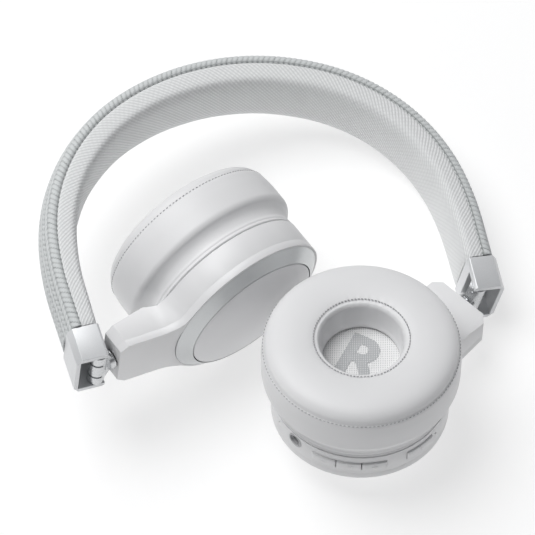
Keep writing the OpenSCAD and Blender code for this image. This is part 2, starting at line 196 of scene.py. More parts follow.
class PadSettings(bpy.types.PropertyGroup):
    """Sizes and colours of the ear pads."""

    radius: bpy.props.FloatProperty(
        name="Radius", description="Largest radius of the pad", default=0.0366, unit="LENGTH"
    )
    hole: bpy.props.FloatProperty(
        name="Hole", description="Radius of the hole", default=0.0152, unit="LENGTH"
    )
    face: bpy.props.FloatProperty(
        name="Face", description="Depth of the pad's face below the arm", default=0.0314, unit="LENGTH"
    )
    pressure: bpy.props.FloatProperty(
        name="Filling", description="Pressure of the foam in the cloth simulation", default=3.0
    )
    colour: bpy.props.FloatVectorProperty(
        name="Colour", description="Colour of the leather", subtype="COLOR",
        size=4, min=0, max=1, default=(0.80, 0.80, 0.805, 1),
    )
    thread_colour: bpy.props.FloatVectorProperty(
        name="Thread Colour", description="Colour of the stitches", subtype="COLOR",
        size=4, min=0, max=1, default=(0.46, 0.46, 0.47, 1),
    )


class ShellSettings(bpy.types.PropertyGroup):
    """Finishes of the plastic and metal parts."""

    edge: bpy.props.FloatProperty(
        name="Edge", description="Rounding of the shell's edges", default=0.0011, unit="LENGTH"
    )
    colour: bpy.props.FloatVectorProperty(
        name="Shell Colour", description="Colour of the shells and buttons", subtype="COLOR",
        size=4, min=0, max=1, default=(0.80, 0.80, 0.805, 1),
    )
    trim_colour: bpy.props.FloatVectorProperty(
        name="Trim Colour", description="Colour of the satin trim ring", subtype="COLOR",
        size=4, min=0, max=1, default=(0.60, 0.615, 0.62, 1),
    )
    disc_colour: bpy.props.FloatVectorProperty(
        name="Disc Colour", description="Colour of the cover disc", subtype="COLOR",
        size=4, min=0, max=1, default=(0.80, 0.80, 0.81, 1),
    )


class StageSettings(bpy.types.PropertyGroup):
    """The studio round the headphones."""

    light: bpy.props.FloatProperty(
        name="Light", description="Strength of the large overhead light", default=1.0, min=0
    )
    lens: bpy.props.FloatProperty(
        name="Lens", description="Focal length of the camera in millimetres", default=161.8
    )


def settings(name):
    return getattr(bpy.context.scene, "headphones_" + name)


# --- meshes ---


def finish_piece(bm, name, body, matrix, finish, hides=(), sharp=None):
    """Turns a bmesh made in millimetres into a piece that rides on a body."""
    bmesh.ops.transform(bm, matrix=matrix @ Matrix.Scale(MM, 4), verts=bm.verts)
    mesh = bpy.data.meshes.new(name)
    bm.to_mesh(mesh)
    bm.free()
    mesh.shade_smooth()
    if sharp:
        mesh.set_sharp_from_angle(angle=math.radians(sharp))
    mesh.materials.append(finish)
    piece = bpy.data.objects.new(name, mesh)
    bpy.context.scene.collection.objects.link(piece)
    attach(piece, body)
    if hides:
        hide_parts(*hides)
    return piece


def surface(rows, columns, shape, uv):
    """A grid of rows by columns faces, placed by shape(u, v) and mapped by uv(u, v), both from 0 to 1."""
    bm = bmesh.new()
    bmesh.ops.create_grid(bm, x_segments=rows, y_segments=columns, size=0.5, calc_uvs=False)
    layer = bm.loops.layers.uv.new("cloth")
    for face in bm.faces:
        for loop in face.loops:
            loop[layer].uv = uv(loop.vert.co.x + 0.5, loop.vert.co.y + 0.5)
    for vert in bm.verts:
        vert.co = shape(vert.co.x + 0.5, vert.co.y + 0.5)
    return bm


def turned(profile, steps, closed=False):
    """A solid turned round z from (radius, height) points, joined end to end if closed."""
    bm = bmesh.new()
    verts = [bm.verts.new((r, 0, z)) for r, z in profile]
    pairs = list(zip(verts, verts[1:])) + ([(verts[-1], verts[0])] if closed else [])
    edges = [bm.edges.new(pair) for pair in pairs]
    bmesh.ops.spin(
        bm, geom=verts + edges, cent=(0, 0, 0), axis=(0, 0, 1), angle=math.tau,
        steps=steps, use_merge=True, use_duplicate=False,
    )
    bmesh.ops.remove_doubles(bm, verts=bm.verts, dist=1e-4)
    bmesh.ops.recalc_face_normals(bm, faces=bm.faces)
    return bm


def arc(cx, cy, radius, start, end, steps):
    """Points along an arc, its angles in degrees."""
    angles = [math.radians(start + (end - start) * k / steps) for k in range(steps + 1)]
    return [(cx + radius * math.cos(a), cy + radius * math.sin(a)) for a in angles]


def node_copy(node, name, width, segments, finish, angle=32):
    """A merged copy of a CAD node with its edges rounded."""
    bm = bmesh.new()
    bm.from_mesh(frame["nodes"][node].data)
    bmesh.ops.remove_doubles(bm, verts=bm.verts, dist=2e-6)
    bmesh.ops.dissolve_limit(
        bm, angle_limit=math.radians(1.5), use_dissolve_boundaries=False,
        verts=bm.verts, edges=bm.edges, delimit={"NORMAL"},
    )
    bmesh.ops.scale(bm, vec=(1 / MM,) * 3, verts=bm.verts)
    body = frame["nodes"][node]["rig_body"]
    piece = finish_piece(bm, name, body, Matrix.Identity(4), finish, (node,))
    bevel = piece.modifiers.new("rounded edges", "BEVEL")
    bevel.width, bevel.segments = width, segments
    bevel.limit_method, bevel.angle_limit = "ANGLE", math.radians(angle)
    bevel.harden_normals = True
    bevel.use_clamp_overlap = True
    return piece


def joined(meshes):
    """One bmesh from several."""
    whole = bmesh.new()
    for bm in meshes:
        mesh = bpy.data.meshes.new("part")
        bm.to_mesh(mesh)
        bm.free()
        whole.from_mesh(mesh)
        bpy.data.meshes.remove(mesh)
    return whole


# --- materials ---


def new_material(name, colour, roughness, metallic=0.0, **sockets):
    """A material with one shader whose plain values sit on its own sockets."""
    found = bpy.data.materials.get(name)
    if found:
        bpy.data.materials.remove(found)
    made = bpy.data.materials.new(name)
    made.use_nodes = True
    made.diffuse_color = tuple(colour[:3]) + (1,)
    shader = made.node_tree.nodes["Principled BSDF"]
    shader.inputs["Base Color"].default_value = tuple(colour[:3]) + (1,)
    shader.inputs["Roughness"].default_value = roughness
    shader.inputs["Metallic"].default_value = metallic
    for socket, value in sockets.items():
        shader.inputs[socket.replace("_", " ")].default_value = value
    return made, made.node_tree, shader


def add(tree, kind, inputs=None, **values):
    """A node with its values set; inputs maps a socket's name or number to a value or to an output."""
    node = tree.nodes.new(kind)
    for key, value in values.items():
        setattr(node, key, value)
    for key, value in (inputs or {}).items():
        if isinstance(value, bpy.types.NodeSocket):
            tree.links.new(value, node.inputs[key])
        else:
            node.inputs[key].default_value = value
    return node


def ramp_mix(tree, factor, low, high, shader, socket="Base Color"):
    """Colours or values between low and high, set by factor, into a shader socket."""
    if socket == "Base Color":
        ends = {0: factor, 6: (*low[:3], 1), 7: (*high[:3], 1)}
        mix = add(tree, "ShaderNodeMix", ends, data_type="RGBA")
        tree.links.new(mix.outputs[2], shader.inputs[socket])
    else:
        to_range = add(tree, "ShaderNodeMapRange", {0: factor, 3: low, 4: high})
        tree.links.new(to_range.outputs[0], shader.inputs[socket])


def bump(tree, height, distance, shader, strength=1.0, under=None):
    node = add(tree, "ShaderNodeBump", {"Height": height, "Distance": distance, "Strength": strength})
    if under:
        tree.links.new(under.outputs[0], node.inputs["Normal"])
    tree.links.new(node.outputs[0], shader.inputs["Normal"])
    return node


def tint(colour, share):
    return tuple(c * share for c in colour[:3])


def moulded_plastic(name, colour, roughness=0.42, grain=1800.0):
    """Moulded plastic with a fine spark-eroded grain and faint flow marks."""
    made, tree, shader = new_material(name, colour, roughness, Specular_IOR_Level=0.45)
    place = add(tree, "ShaderNodeTexCoord").outputs["Object"]
    fine = add(tree, "ShaderNodeTexNoise", {"Vector": place, "Scale": grain, "Detail": 3.0})
    slow = add(tree, "ShaderNodeTexNoise", {"Vector": place, "Scale": 45.0, "Detail": 2.0})
    ramp_mix(tree, slow.outputs["Fac"], tint(colour, 0.97), tint(colour, 1.02), shader)
    ramp_mix(tree, fine.outputs["Fac"], roughness - 0.08, roughness + 0.08, shader, "Roughness")
    bump(tree, fine.outputs["Fac"], 0.00002, shader, 0.35)
    return made


def satin_metal(name, colour, roughness=0.32, metallic=0.85):
    """Metallic paint or blasted metal: fine flakes and a soft gloss."""
    made, tree, shader = new_material(name, colour, roughness, metallic)
    place = add(tree, "ShaderNodeTexCoord").outputs["Object"]
    flakes = add(tree, "ShaderNodeTexVoronoi", {"Vector": place, "Scale": 6000.0})
    slow = add(tree, "ShaderNodeTexNoise", {"Vector": place, "Scale": 60.0, "Detail": 3.0})
    ramp_mix(tree, flakes.outputs["Distance"], tint(colour, 1.04), tint(colour, 0.92), shader)
    ramp_mix(tree, slow.outputs["Fac"], roughness - 0.05, roughness + 0.06, shader, "Roughness")
    bump(tree, flakes.outputs["Distance"], 0.000008, shader, 0.4)
    return made


def brushed_metal(name, colour, roughness=0.28):
    """Steel with fine drawn lines."""
    made, tree, shader = new_material(name, colour, roughness, 1.0)
    place = add(tree, "ShaderNodeTexCoord").outputs["Object"]
    stretched = add(tree, "ShaderNodeMapping", {"Vector": place, "Scale": (300.0, 4000.0, 4000.0)})
    lines = add(tree, "ShaderNodeTexNoise",
                {"Vector": stretched.outputs[0], "Scale": 1.0, "Detail": 4.0})
    ramp_mix(tree, lines.outputs["Fac"], tint(colour, 0.85), tint(colour, 1.08), shader)
    ramp_mix(tree, lines.outputs["Fac"], roughness - 0.08, roughness + 0.14, shader, "Roughness")
    bump(tree, lines.outputs["Fac"], 0.00001, shader, 0.5)
    return made


def leather(name, colour):
    """Soft leatherette: small pebbled grain, pores and a gentle sheen."""
    made, tree, shader = new_material(name, colour, 0.46, Specular_IOR_Level=0.4, Sheen_Weight=0.08)
    place = add(tree, "ShaderNodeTexCoord").outputs["Object"]
    warp = add(tree, "ShaderNodeTexNoise", {"Vector": place, "Scale": 500.0, "Detail": 2.0})
    pebbles = add(tree, "ShaderNodeTexVoronoi", {"Vector": place, "Scale": 1700.0}, feature="SMOOTH_F1")
    pores = add(tree, "ShaderNodeTexNoise", {"Vector": place, "Scale": 5200.0, "Detail": 2.0})
    slow = add(tree, "ShaderNodeTexNoise", {"Vector": place, "Scale": 60.0, "Detail": 3.0})
    ramp_mix(tree, slow.outputs["Fac"], tint(colour, 0.965), tint(colour, 1.02), shader)
    ramp_mix(tree, warp.outputs["Fac"], 0.40, 0.55, shader, "Roughness")
    under = add(tree, "ShaderNodeBump", {"Height": pebbles.outputs["Distance"], "Distance": 0.00004,
                                         "Strength": 0.35})
    bump(tree, pores.outputs["Fac"], 0.00001, shader, 0.3, under)
    return made


def padding_knit(name, colour, rib):
    """Fine knit of slanted dashes over foam, following the piece's own map in metres, with painted shade
    in the low parts between the ribs.
    """
    made, tree, shader = new_material(name, colour, 0.85, Sheen_Weight=0.25, Specular_IOR_Level=0.25)
    uv = add(tree, "ShaderNodeUVMap", uv_map="cloth").outputs[0]
    split = add(tree, "ShaderNodeSeparateXYZ", {0: uv})
    along, across = split.outputs[0], split.outputs[1]

    def sums(operation, *terms):
        return add(tree, "ShaderNodeMath", dict(enumerate(terms)), operation=operation).outputs[0]

    def waves(a, b, period, power):
        total = sums("ADD", sums("MULTIPLY", along, a * math.tau / period),
                     sums("MULTIPLY", across, b * math.tau / period))
        return sums("POWER", sums("MULTIPLY_ADD", sums("SINE", total), 0.5, 0.5), power)

    ribs = waves(0.72, 0.69, rib, 0.6)
    breaks = waves(-0.69, 0.72, rib * 1.35, 0.5)
    height = sums("MULTIPLY", ribs, sums("MULTIPLY_ADD", breaks, 0.45, 0.55))
    fuzz = add(tree, "ShaderNodeTexNoise", {"Vector": uv, "Scale": 3500.0, "Detail": 2.0})
    # painted shade: the colour darkens where the ribs are low
    ramp_mix(tree, height, tint(colour, 0.80), tint(colour, 1.03), shader)
    under = add(tree, "ShaderNodeBump", {"Height": height, "Distance": 0.00022, "Strength": 0.7})
    bump(tree, fuzz.outputs["Fac"], 0.00006, shader, 0.5, under)
    return made


def cover_knit(name, yarn, recess_shade):
    """Heavy knit whose colour follows the height of each stitch, darkened by painted shade in the gaps
    between stitches.
    """
    made, tree, shader = new_material(name, yarn, 0.8, Sheen_Weight=0.2, Specular_IOR_Level=0.3)
    height = add(tree, "ShaderNodeAttribute", attribute_name="stitch").outputs["Fac"]
    uv = add(tree, "ShaderNodeUVMap", uv_map="cloth").outputs[0]
    stretched = add(tree, "ShaderNodeMapping", {"Vector": uv, "Scale": (1200.0, 3800.0, 1.0)})
    fibre = add(tree, "ShaderNodeTexNoise",
                {"Vector": stretched.outputs[0], "Scale": 1.0, "Detail": 3.0})
    shade = add(tree, "ShaderNodeMapRange", {0: height, 1: 0.12, 2: 0.8})
    # painted shade: the low parts of each stitch darken towards the gap colour
    ramp_mix(tree, shade.outputs[0], recess_shade, yarn, shader)
    bump(tree, fibre.outputs["Fac"], 0.00008, shader, 0.6)
    return made


def mesh_cloth(name, colour, print_colour):
    """Thin cloth over the loudspeaker with a grid of small holes."""
    made, tree, shader = new_material(name, colour, 0.85, Sheen_Weight=0.2)
    place = add(tree, "ShaderNodeUVMap", uv_map="cloth").outputs[0]
    turned_uv = add(tree, "ShaderNodeMapping", {"Vector": place, "Scale": (1250.0, 1250.0, 1.0)})
    turned_uv.inputs["Rotation"].default_value = (0, 0, math.radians(45))
    cells = add(tree, "ShaderNodeTexVoronoi", {"Vector": turned_uv.outputs[0], "Scale": 1.0,
                                               "Randomness": 0.05})
    holes = add(tree, "ShaderNodeMapRange", {0: cells.outputs["Distance"], 1: 0.16, 2: 0.3})
    ramp_mix(tree, holes.outputs[0], print_colour, colour, shader)
    bump(tree, holes.outputs[0], 0.0001, shader, 0.6)
    return made


def plain_thread(name, colour):
    """Twisted thread."""
    made, tree, shader = new_material(name, colour, 0.7, Sheen_Weight=0.2)
    place = add(tree, "ShaderNodeTexCoord").outputs["Object"]
    twist = add(tree, "ShaderNodeTexNoise", {"Vector": place, "Scale": 6000.0, "Detail": 2.0})
    ramp_mix(tree, twist.outputs["Fac"], tint(colour, 0.8), tint(colour, 1.08), shader)
    bump(tree, twist.outputs["Fac"], 0.00004, shader, 0.5)
    return made


FINISHES = {}


def finish(name):
    return FINISHES[name]


class HEADPHONES_OT_finishes(bpy.types.Operator):
    """Make the materials and put them on the CAD nodes"""

    bl_idname = "headphones.finishes"
    bl_label = "Finishes"

    def execute(self, context):
        shell, pad, band = settings("shell"), settings("pad"), settings("band")
        FINISHES.update(
            shell_plastic=moulded_plastic("shell plastic", shell.colour),
            button_plastic=moulded_plastic("button plastic", shell.colour, 0.38),
            housing_plastic=moulded_plastic("housing plastic", tint(shell.colour, 0.97)),
            rail_plastic=moulded_plastic("rail plastic", (0.6, 0.6, 0.6)),
            disc_plastic=moulded_plastic("disc satin plastic", shell.disc_colour, 0.36),
            dark_plastic=moulded_plastic("dark plastic", (0.05, 0.05, 0.052), 0.5),
            socket_dark=moulded_plastic("socket plastic", (0.50, 0.50, 0.51), 0.4),
            cell_wrap=moulded_plastic("cell wrap", (0.05, 0.08, 0.18), 0.35),
            board=moulded_plastic("board lacquer", (0.02, 0.16, 0.07), 0.35),
            film=moulded_plastic("diaphragm film", (0.6, 0.6, 0.56), 0.2),
            trim_metallic=satin_metal("trim metallic", shell.trim_colour, 0.3, 0.75),
            cap_metal=satin_metal("cap metal", (0.74, 0.75, 0.76), 0.38, 0.3),
            magnet=satin_metal("magnet plating", (0.5, 0.5, 0.5), 0.25, 1.0),
            spring_steel=brushed_metal("spring steel", (0.5, 0.5, 0.51)),
            pin_steel=brushed_metal("pin steel", (0.45, 0.45, 0.46)),
            link_metal=brushed_metal("link steel", (0.62, 0.63, 0.64), 0.24),
            socket_steel=brushed_metal("socket steel", (0.6, 0.6, 0.6)),
            knit_padding=padding_knit("padding knit", band.padding_colour, band.rib),
            knit_cover=cover_knit("cover knit", band.yarn_colour, band.recess_shade_colour),
            mesh_fabric=mesh_cloth("mesh cloth", (0.82, 0.82, 0.82), (0.42, 0.43, 0.43)),
            print_fabric=mesh_cloth("printed mesh cloth", (0.42, 0.43, 0.44), (0.75, 0.75, 0.75)),
            pad_leather=leather("pad leather", pad.colour),
            pad_thread=plain_thread("pad thread", pad.thread_colour),
        )
        for part in frame["record"]["subparts"]:
            node = frame["nodes"][part["node"]]
            node.data.materials.clear()
            node.data.materials.append(finish(part["material_slot"]))
        return {"FINISHED"}


# --- band ---


def on_band(s, n, z):
    """A point n millimetres outward of the piping line and z across, at s along the band."""
    x, y, heading = band_point(s)
    return Vector((x + n * math.sin(heading), y + n * math.cos(heading), z))


class HEADPHONES_OT_padding(bpy.types.Operator):
    """Make the knit covered foam on the inside of the band"""

    bl_idname = "headphones.padding"
    bl_label = "Band Padding"

    def execute(self, context):
        band = settings("band")
        # the foam stops just below the piping line
        half_width, top = band.half_width / MM, -0.8
        length = 2 * BAND_HALF
        columns = 72

        def section(v, depth, tuck):
            a = v * math.tau
            c, d = math.cos(a), math.sin(a)
            half = (depth + top) / 2
            square = 0.34 if d > 0 else 0.52
            n = top - half + math.copysign(abs(d) ** square, d) * (half - tuck * 0.6)
            return math.copysign(abs(c) ** 0.44, c) * (half_width - tuck), n, d

        # the map follows the real distance round the section, so that the ribs run straight
        points = [Vector(section(k / columns, band.depth / MM, 0)[:2]) for k in range(columns + 1)]
        travelled = [0.0]
        for here, there in zip(points, points[1:]):
            travelled.append(travelled[-1] + (there - here).length)

        def shape(u, v):
            s = (2 * u - 1) * BAND_HALF
            ends = abs(2 * u - 1)
            depth = (band.depth + (band.end_depth - band.depth) * ends**1.6) / MM
            tuck = 0.5 * max(0.0, 1 - (1 - ends) * BAND_HALF / 2.5) ** 2
            z, n, d = section(v, depth, tuck)
            swell = 0.10 * math.sin(s * 0.19 + 1.3) * math.sin(s * 0.071)
            return on_band(s, n - swell * max(0.0, -d), z)

        bm = surface(300, columns, shape,
                     lambda u, v: (u * length * MM, travelled[round(v * columns)] * MM))
        bmesh.ops.remove_doubles(bm, verts=bm.verts, dist=1e-3)
        bmesh.ops.holes_fill(bm, edges=[e for e in bm.edges if e.is_boundary], sides=0)
        bmesh.ops.recalc_face_normals(bm, faces=bm.faces)
        piece = finish_piece(bm, "band_padding", "headband", BAND, finish("knit_padding"),
                             ("band_pad",), 60)
        return {"FINISHED"}


class HEADPHONES_OT_cover(bpy.types.Operator):
    """Knit the heavy cover over the outside of the band, stitch by stitch"""

    bl_idname = "headphones.cover"
    bl_label = "Band Cover"

    def execute(self, context):
        # a stitch is a slanted ridge, pitch long in a column a wale wide, slanted by turns
        wale, pitch, height = settings("band").wale / MM, 2.1, 0.6
        half_w, edge = 12.0, 2.0
        crown, crown_r = 3.3, 27.0
        span = 2 * (half_w + edge)

        def stitch(s, w):
            column = math.floor(w / wale)
            f = w / wale - column
            slant = 1 if column % 2 else -1
            ridge = abs(math.sin(math.pi * (s / pitch + slant * 1.25 * (f - 0.5))))
            return ridge**0.55 * max(0.0, 1 - (2 * f - 1) ** 2) ** 0.45

        def shape(u, v):
            s = (2 * u - 1) * BAND_HALF
            w = v * span - span / 2
            over = max(0.0, abs(w) - half_w)
            z = math.copysign(min(abs(w), half_w) + 0.35 * math.sin(min(1, over / edge) * math.pi), w)
            n = crown - crown_r + math.sqrt(crown_r**2 - min(abs(w), half_w) ** 2) - over * 1.25
            lift = height * (stitch(s, w + span / 2) - 0.6)
            tilt = math.radians(90) * min(1, over / edge) * math.copysign(1, w)
            return on_band(s, n + lift * math.cos(tilt), z + lift * math.sin(tilt))

        rows, columns = 640, 72
        bm = surface(rows, columns, shape, lambda u, v: (u * 2 * BAND_HALF * MM, v * span * MM))
        layer = bm.loops.layers.uv["cloth"]
        level = bm.verts.layers.float.new("stitch")
        for face in bm.faces:
            for loop in face.loops:
                s, w = loop[layer].uv / MM
                loop.vert[level] = stitch(s - BAND_HALF, w)
        bmesh.ops.recalc_face_normals(bm, faces=bm.faces)
        piece = finish_piece(bm, "band_knit_cover", "headband", BAND, finish("knit_cover"),
                             ("band_cover",))
        wall = piece.modifiers.new("thickness", "SOLIDIFY")
        wall.thickness, wall.offset = 0.0009, -1
        return {"FINISHED"}


# --- ears ---


def pad_profile(radius, hole, face):
    """Half section of the pad, from under the skirt round the cushion to the bottom of the hole."""
    outer_seam = (radius - 0.9, -face + 4.7)
    skirt = [(29.6, -4.9), (31.3, -4.9), (31.3, -2.7), (32.9, -2.7), (33.1, -3.3), (32.75, -3.9),
             (32.95, -4.6), (32.75, -5.3), (32.8, -6.5), (33.1, -7.8), (33.7, -9.0)]
    side = arc(radius - 3.0, -13.0, 3.0, 62, 0, 6)
    wall = [(radius, -15.5), (radius, -18), (radius - 0.05, -20.5), (radius - 0.3, -23)]
    rim = [(radius - 0.5, -25.2), outer_seam, (radius - 1.5, -face + 3.1), (radius - 2.6, -face + 1.7),
           (radius - 4.2, -face + 0.7), (radius - 6.2, -face + 0.2)]
    top = [(r, -face + 0.02 * (r - 25) ** 2 * 0.25) for r in (27.5, 25.5, 23.5, 21.5, 19.8)]
    lip = arc(hole + 2.6, -face + 3.2, 2.6, 268, 180, 7)
    inner = [(hole - 0.1, -face + 5.5), (hole - 0.3, -face + 8), (hole - 0.7, -20), (hole - 1.0, -17.6)]
    back = [(hole + 3, -17.3), (24, -17.3), (28, -17.3), (29.6, -15), (29.6, -10)]
    return skirt + side + wall + rim + top + lip + inner + back, outer_seam


def fill_cushion(bm, held, filling):
    """Swells the cushion with a short cloth simulation at ten times its size and returns the moves."""
    mesh = bpy.data.meshes.new("cushion trial")
    bmesh.ops.scale(bm, vec=(0.01,) * 3, verts=bm.verts)
    bm.to_mesh(mesh)
    bmesh.ops.scale(bm, vec=(100.0,) * 3, verts=bm.verts)
    trial = bpy.data.objects.new("cushion trial", mesh)
    bpy.context.scene.collection.objects.link(trial)
    pins = trial.vertex_groups.new(name="held")
    pins.add(held, 1.0, "REPLACE")
    cloth = trial.modifiers.new("cloth", "CLOTH")
    cloth.settings.quality = 6
    cloth.settings.mass = 0.3
    cloth.settings.tension_stiffness = 25
    cloth.settings.compression_stiffness = 25
    cloth.settings.bending_stiffness = 2
    cloth.settings.use_pressure = True
    cloth.settings.uniform_pressure_force = filling
    cloth.settings.vertex_group_mass = "held"
    cloth.settings.effector_weights.gravity = 0
    scene = bpy.context.scene
    for number in range(1, 15):
        scene.frame_set(number)
    depsgraph = bpy.context.evaluated_depsgraph_get()
    filled = trial.evaluated_get(depsgraph).to_mesh()
    moves = [(filled.vertices[k].co - mesh.vertices[k].co) * 100 for k in range(len(mesh.vertices))]
    trial.evaluated_get(depsgraph).to_mesh_clear()
    scene.frame_set(1)
    bpy.data.objects.remove(trial)
    bpy.data.meshes.remove(mesh)
    return moves


def ring_of_stitches(radius, z, count, length, width, lean=0.0):
    """Short rounded stitches in a ring."""
    stitches = []
    for k in range(count):
        bm = bmesh.new()
        bmesh.ops.create_uvsphere(bm, u_segments=6, v_segments=5, radius=0.5)
        bmesh.ops.scale(bm, vec=(width, width, length), verts=bm.verts)
        bmesh.ops.rotate(bm, matrix=Matrix.Rotation(math.radians(90 + lean), 3, "X"), verts=bm.verts)
        bmesh.ops.translate(bm, vec=(radius, 0, z), verts=bm.verts)
        turn = Matrix.Rotation(math.tau * k / count, 3, "Z")
        bmesh.ops.rotate(bm, matrix=turn, verts=bm.verts)
        stitches.append(bm)
    return joined(stitches)


class HEADPHONES_OT_ear_pads(bpy.types.Operator):
    """Make the leather ear pads, their seams and their stitches"""

    bl_idname = "headphones.ear_pads"
    bl_label = "Ear Pads"

    def execute(self, context):
        pad = settings("pad")
        radius, hole, face = pad.radius / MM - 0.15, pad.hole / MM, pad.face / MM - 0.25
        profile, outer_seam = pad_profile(radius, hole, face)
        inner_seam, waist = (hole + 1.75, -face + 0.7), (33.0, -8.0)
        puckers = ((inner_seam, 5.0, 1.0), (outer_seam, 4.0, 0.7), (waist, 3.0, 0.6))
        for side in SIDES:
            bm = turned(profile, 112, closed=True)
            bmesh.ops.subdivide_edges(bm, edges=[e for e in bm.edges if e.calc_length() > 2.6], cuts=1,
                                      use_grid_fill=True)
            bm.verts.index_update()
            held = []
            for vert in bm.verts:
                r, z = math.hypot(vert.co.x, vert.co.y), vert.co.z
                on_seam = math.hypot(r - outer_seam[0], z - outer_seam[1]) < 0.35
                if on_seam or z > -17.7 and r < 30 or z > -9.2:
                    held.append(vert.index)
            moves = fill_cushion(bm, held, pad.pressure)
            for vert in bm.verts:
                move = moves[vert.index]
                if move.length > 0.5:
                    move = move * (0.5 / move.length)
                vert.co += move
            for vert in bm.verts:
                angle = math.atan2(vert.co.y, vert.co.x)
                r, z = math.hypot(vert.co.x, vert.co.y), vert.co.z
                pucker = math.sin(angle * 37 + 1.7 * math.sin(angle * 3)) * 0.09
                near = sum(
                    math.exp(-((r - seam[0]) ** 2 + (z - seam[1]) ** 2) / spread) * share
                    for seam, spread, share in puckers
                )
                vert.co.z += pucker * near
            bmesh.ops.subdivide_edges(bm, edges=bm.edges[:], cuts=1, use_grid_fill=True, smooth=0.6)
            for vert in bm.verts:
                r, z = math.hypot(vert.co.x, vert.co.y), vert.co.z
                for seam, width, depth in ((outer_seam, 0.95, 0.42), (inner_seam, 0.9, 0.28)):
                    away = math.hypot(r - seam[0], z - seam[1])
                    if away < width:
                        vert.co -= vert.normal * depth * (1 - (away / width) ** 2)
            piece = finish_piece(bm, side + "_leather_pad", side + "_ear", EARS[side],
                                 finish("pad_leather"), (side + "_ear_pad",))
            smooth = piece.modifiers.new("smooth leather", "SUBSURF")
            smooth.levels = smooth.render_levels = 1
            rings = joined([
                ring_of_stitches(hole + 2.2, -face + 0.42, 88, 0.95, 0.44, 14),
                ring_of_stitches(outer_seam[0] + 0.22, outer_seam[1] + 0.62, 150, 1.0, 0.36, 8),
            ])
            finish_piece(rings, side + "_pad_stitches", side + "_ear", EARS[side],
                         finish("pad_thread"))
        return {"FINISHED"}


class HEADPHONES_OT_ear_cloths(bpy.types.Operator):
    """Stretch the thin cloth over each loudspeaker"""

    bl_idname = "headphones.ear_cloths"
    bl_label = "Ear Cloths"

    def execute(self, context):
        radius = 23.8
        for side in SIDES:
            bm = bmesh.new()
            bmesh.ops.create_grid(bm, x_segments=60, y_segments=60, size=radius)
            outside = [f for f in bm.faces if f.calc_center_median().length > radius]
            bmesh.ops.delete(bm, geom=outside, context="FACES")
            layer = bm.loops.layers.uv.new("cloth")
            for vert in bm.verts:
                r = vert.co.length
                ripple, rise = 0.02 * math.cos(r * 1.3), 0.6 * (r / radius) ** 4 * 0.3
                vert.co.z = DRIVER_MESH_Z + 0.05 - ripple + rise
            for cloth_face in bm.faces:
                for loop in cloth_face.loops:
                    loop[layer].uv = loop.vert.co.xy * MM
            bmesh.ops.reverse_faces(bm, faces=bm.faces)
            piece = finish_piece(bm, side + "_speaker_cloth", side + "_ear", EARS[side],
                                 finish("mesh_fabric"), (side + "_ear_mesh",))
        return {"FINISHED"}


def flat_text(text, size):
    """A bmesh of filled letters about the origin, size high in millimetres."""
    curve = bpy.data.curves.new("letters", "FONT")
    curve.body, curve.size, curve.align_x, curve.align_y = text, size, "CENTER", "CENTER"
    curve.resolution_u, curve.offset = 4, 0.03 * size
    letters = bpy.data.objects.new("letters", curve)
    bpy.context.scene.collection.objects.link(letters)
    bpy.context.view_layer.update()
    mesh = bpy.data.meshes.new_from_object(letters)
    bm = bmesh.new()
    bm.from_mesh(mesh)
    bpy.data.objects.remove(letters)
    bpy.data.curves.remove(curve)
    bpy.data.meshes.remove(mesh)
    return bm


class HEADPHONES_OT_marks(bpy.types.Operator):
    """Print the side letters on the cloths and raise the marks on the buttons"""

    bl_idname = "headphones.marks"
    bl_label = "Marks"

    def execute(self, context):
        for side in SIDES:
            bm = flat_text(side[0].upper(), 27.0)
            bmesh.ops.triangulate(bm, faces=bm.faces)
            layer = bm.loops.layers.uv.new("cloth")
            turn = Matrix.Rotation(math.pi, 4, "X") @ Matrix.Rotation(math.radians(110), 4, "Z")
            bmesh.ops.transform(bm, matrix=turn, verts=bm.verts)
            bmesh.ops.translate(bm, vec=(1.0, 0, DRIVER_MESH_Z - 0.10), verts=bm.verts)
            for face in bm.faces:
                for loop in face.loops:
                    loop[layer].uv = loop.vert.co.xy * MM
            finish_piece(bm, side + "_cloth_letter", side + "_ear", EARS[side],
                         finish("print_fabric"))
        # for each button: the angle and height of a mark, and the length and width of its bars
        bars = {
            "volume_down_button": [(-22.2, 3.0, ((2.0, 0.45),))],
            "play_button": [(-38.4, 3.0, ((0.45, 1.9),)), (-40.0, 3.0, ((0.45, 1.9),))],
            "volume_up_button": [(-54.6, 3.0, ((2.0, 0.45), (0.45, 2.0)))],
            "power_button": [(-86.8, 2.4, ((0.45, 1.9),))],
        }
        for key, marks in bars.items():
            parts = []
            for angle, height, sizes in marks:
                for along, across in sizes:
                    bm = bmesh.new()
                    bmesh.ops.create_cube(bm, size=1.0)
                    bmesh.ops.scale(bm, vec=(0.3, along, across), verts=bm.verts)
                    bmesh.ops.bevel(bm, geom=bm.edges[:], offset=0.1, segments=2, profile=0.5,
                                    affect="EDGES", material=-1)
                    bmesh.ops.translate(bm, vec=(MARK_R, 0, height), verts=bm.verts)
                    bmesh.ops.rotate(bm, matrix=Matrix.Rotation(math.radians(angle), 3, "Z"),
                                     verts=bm.verts)
                    parts.append(bm)
            finish_piece(joined(parts), key.replace("_button", "_mark"), key, EARS["right"],
                         finish("button_plastic"), sharp=40)
        return {"FINISHED"}


def disc_profile():
    """Half section of the domed cover disc, from its underside's middle round to its top's middle."""
    rise, back = 1.4, DISC_Z - 2
    dome_r = (DISC_R**2 + rise**2) / (2 * rise)
    dome = [(r, DISC_Z + rise - dome_r + math.sqrt(dome_r**2 - r**2))
            for r in (26.35, 24, 21, 18, 15, 12, 9, 6, 3, 0)]
    rounding = arc(DISC_R - 0.4, DISC_Z - 0.38, 0.4, 0, 72, 4)
    return [(0, back), (DISC_R, back)] + rounding + dome


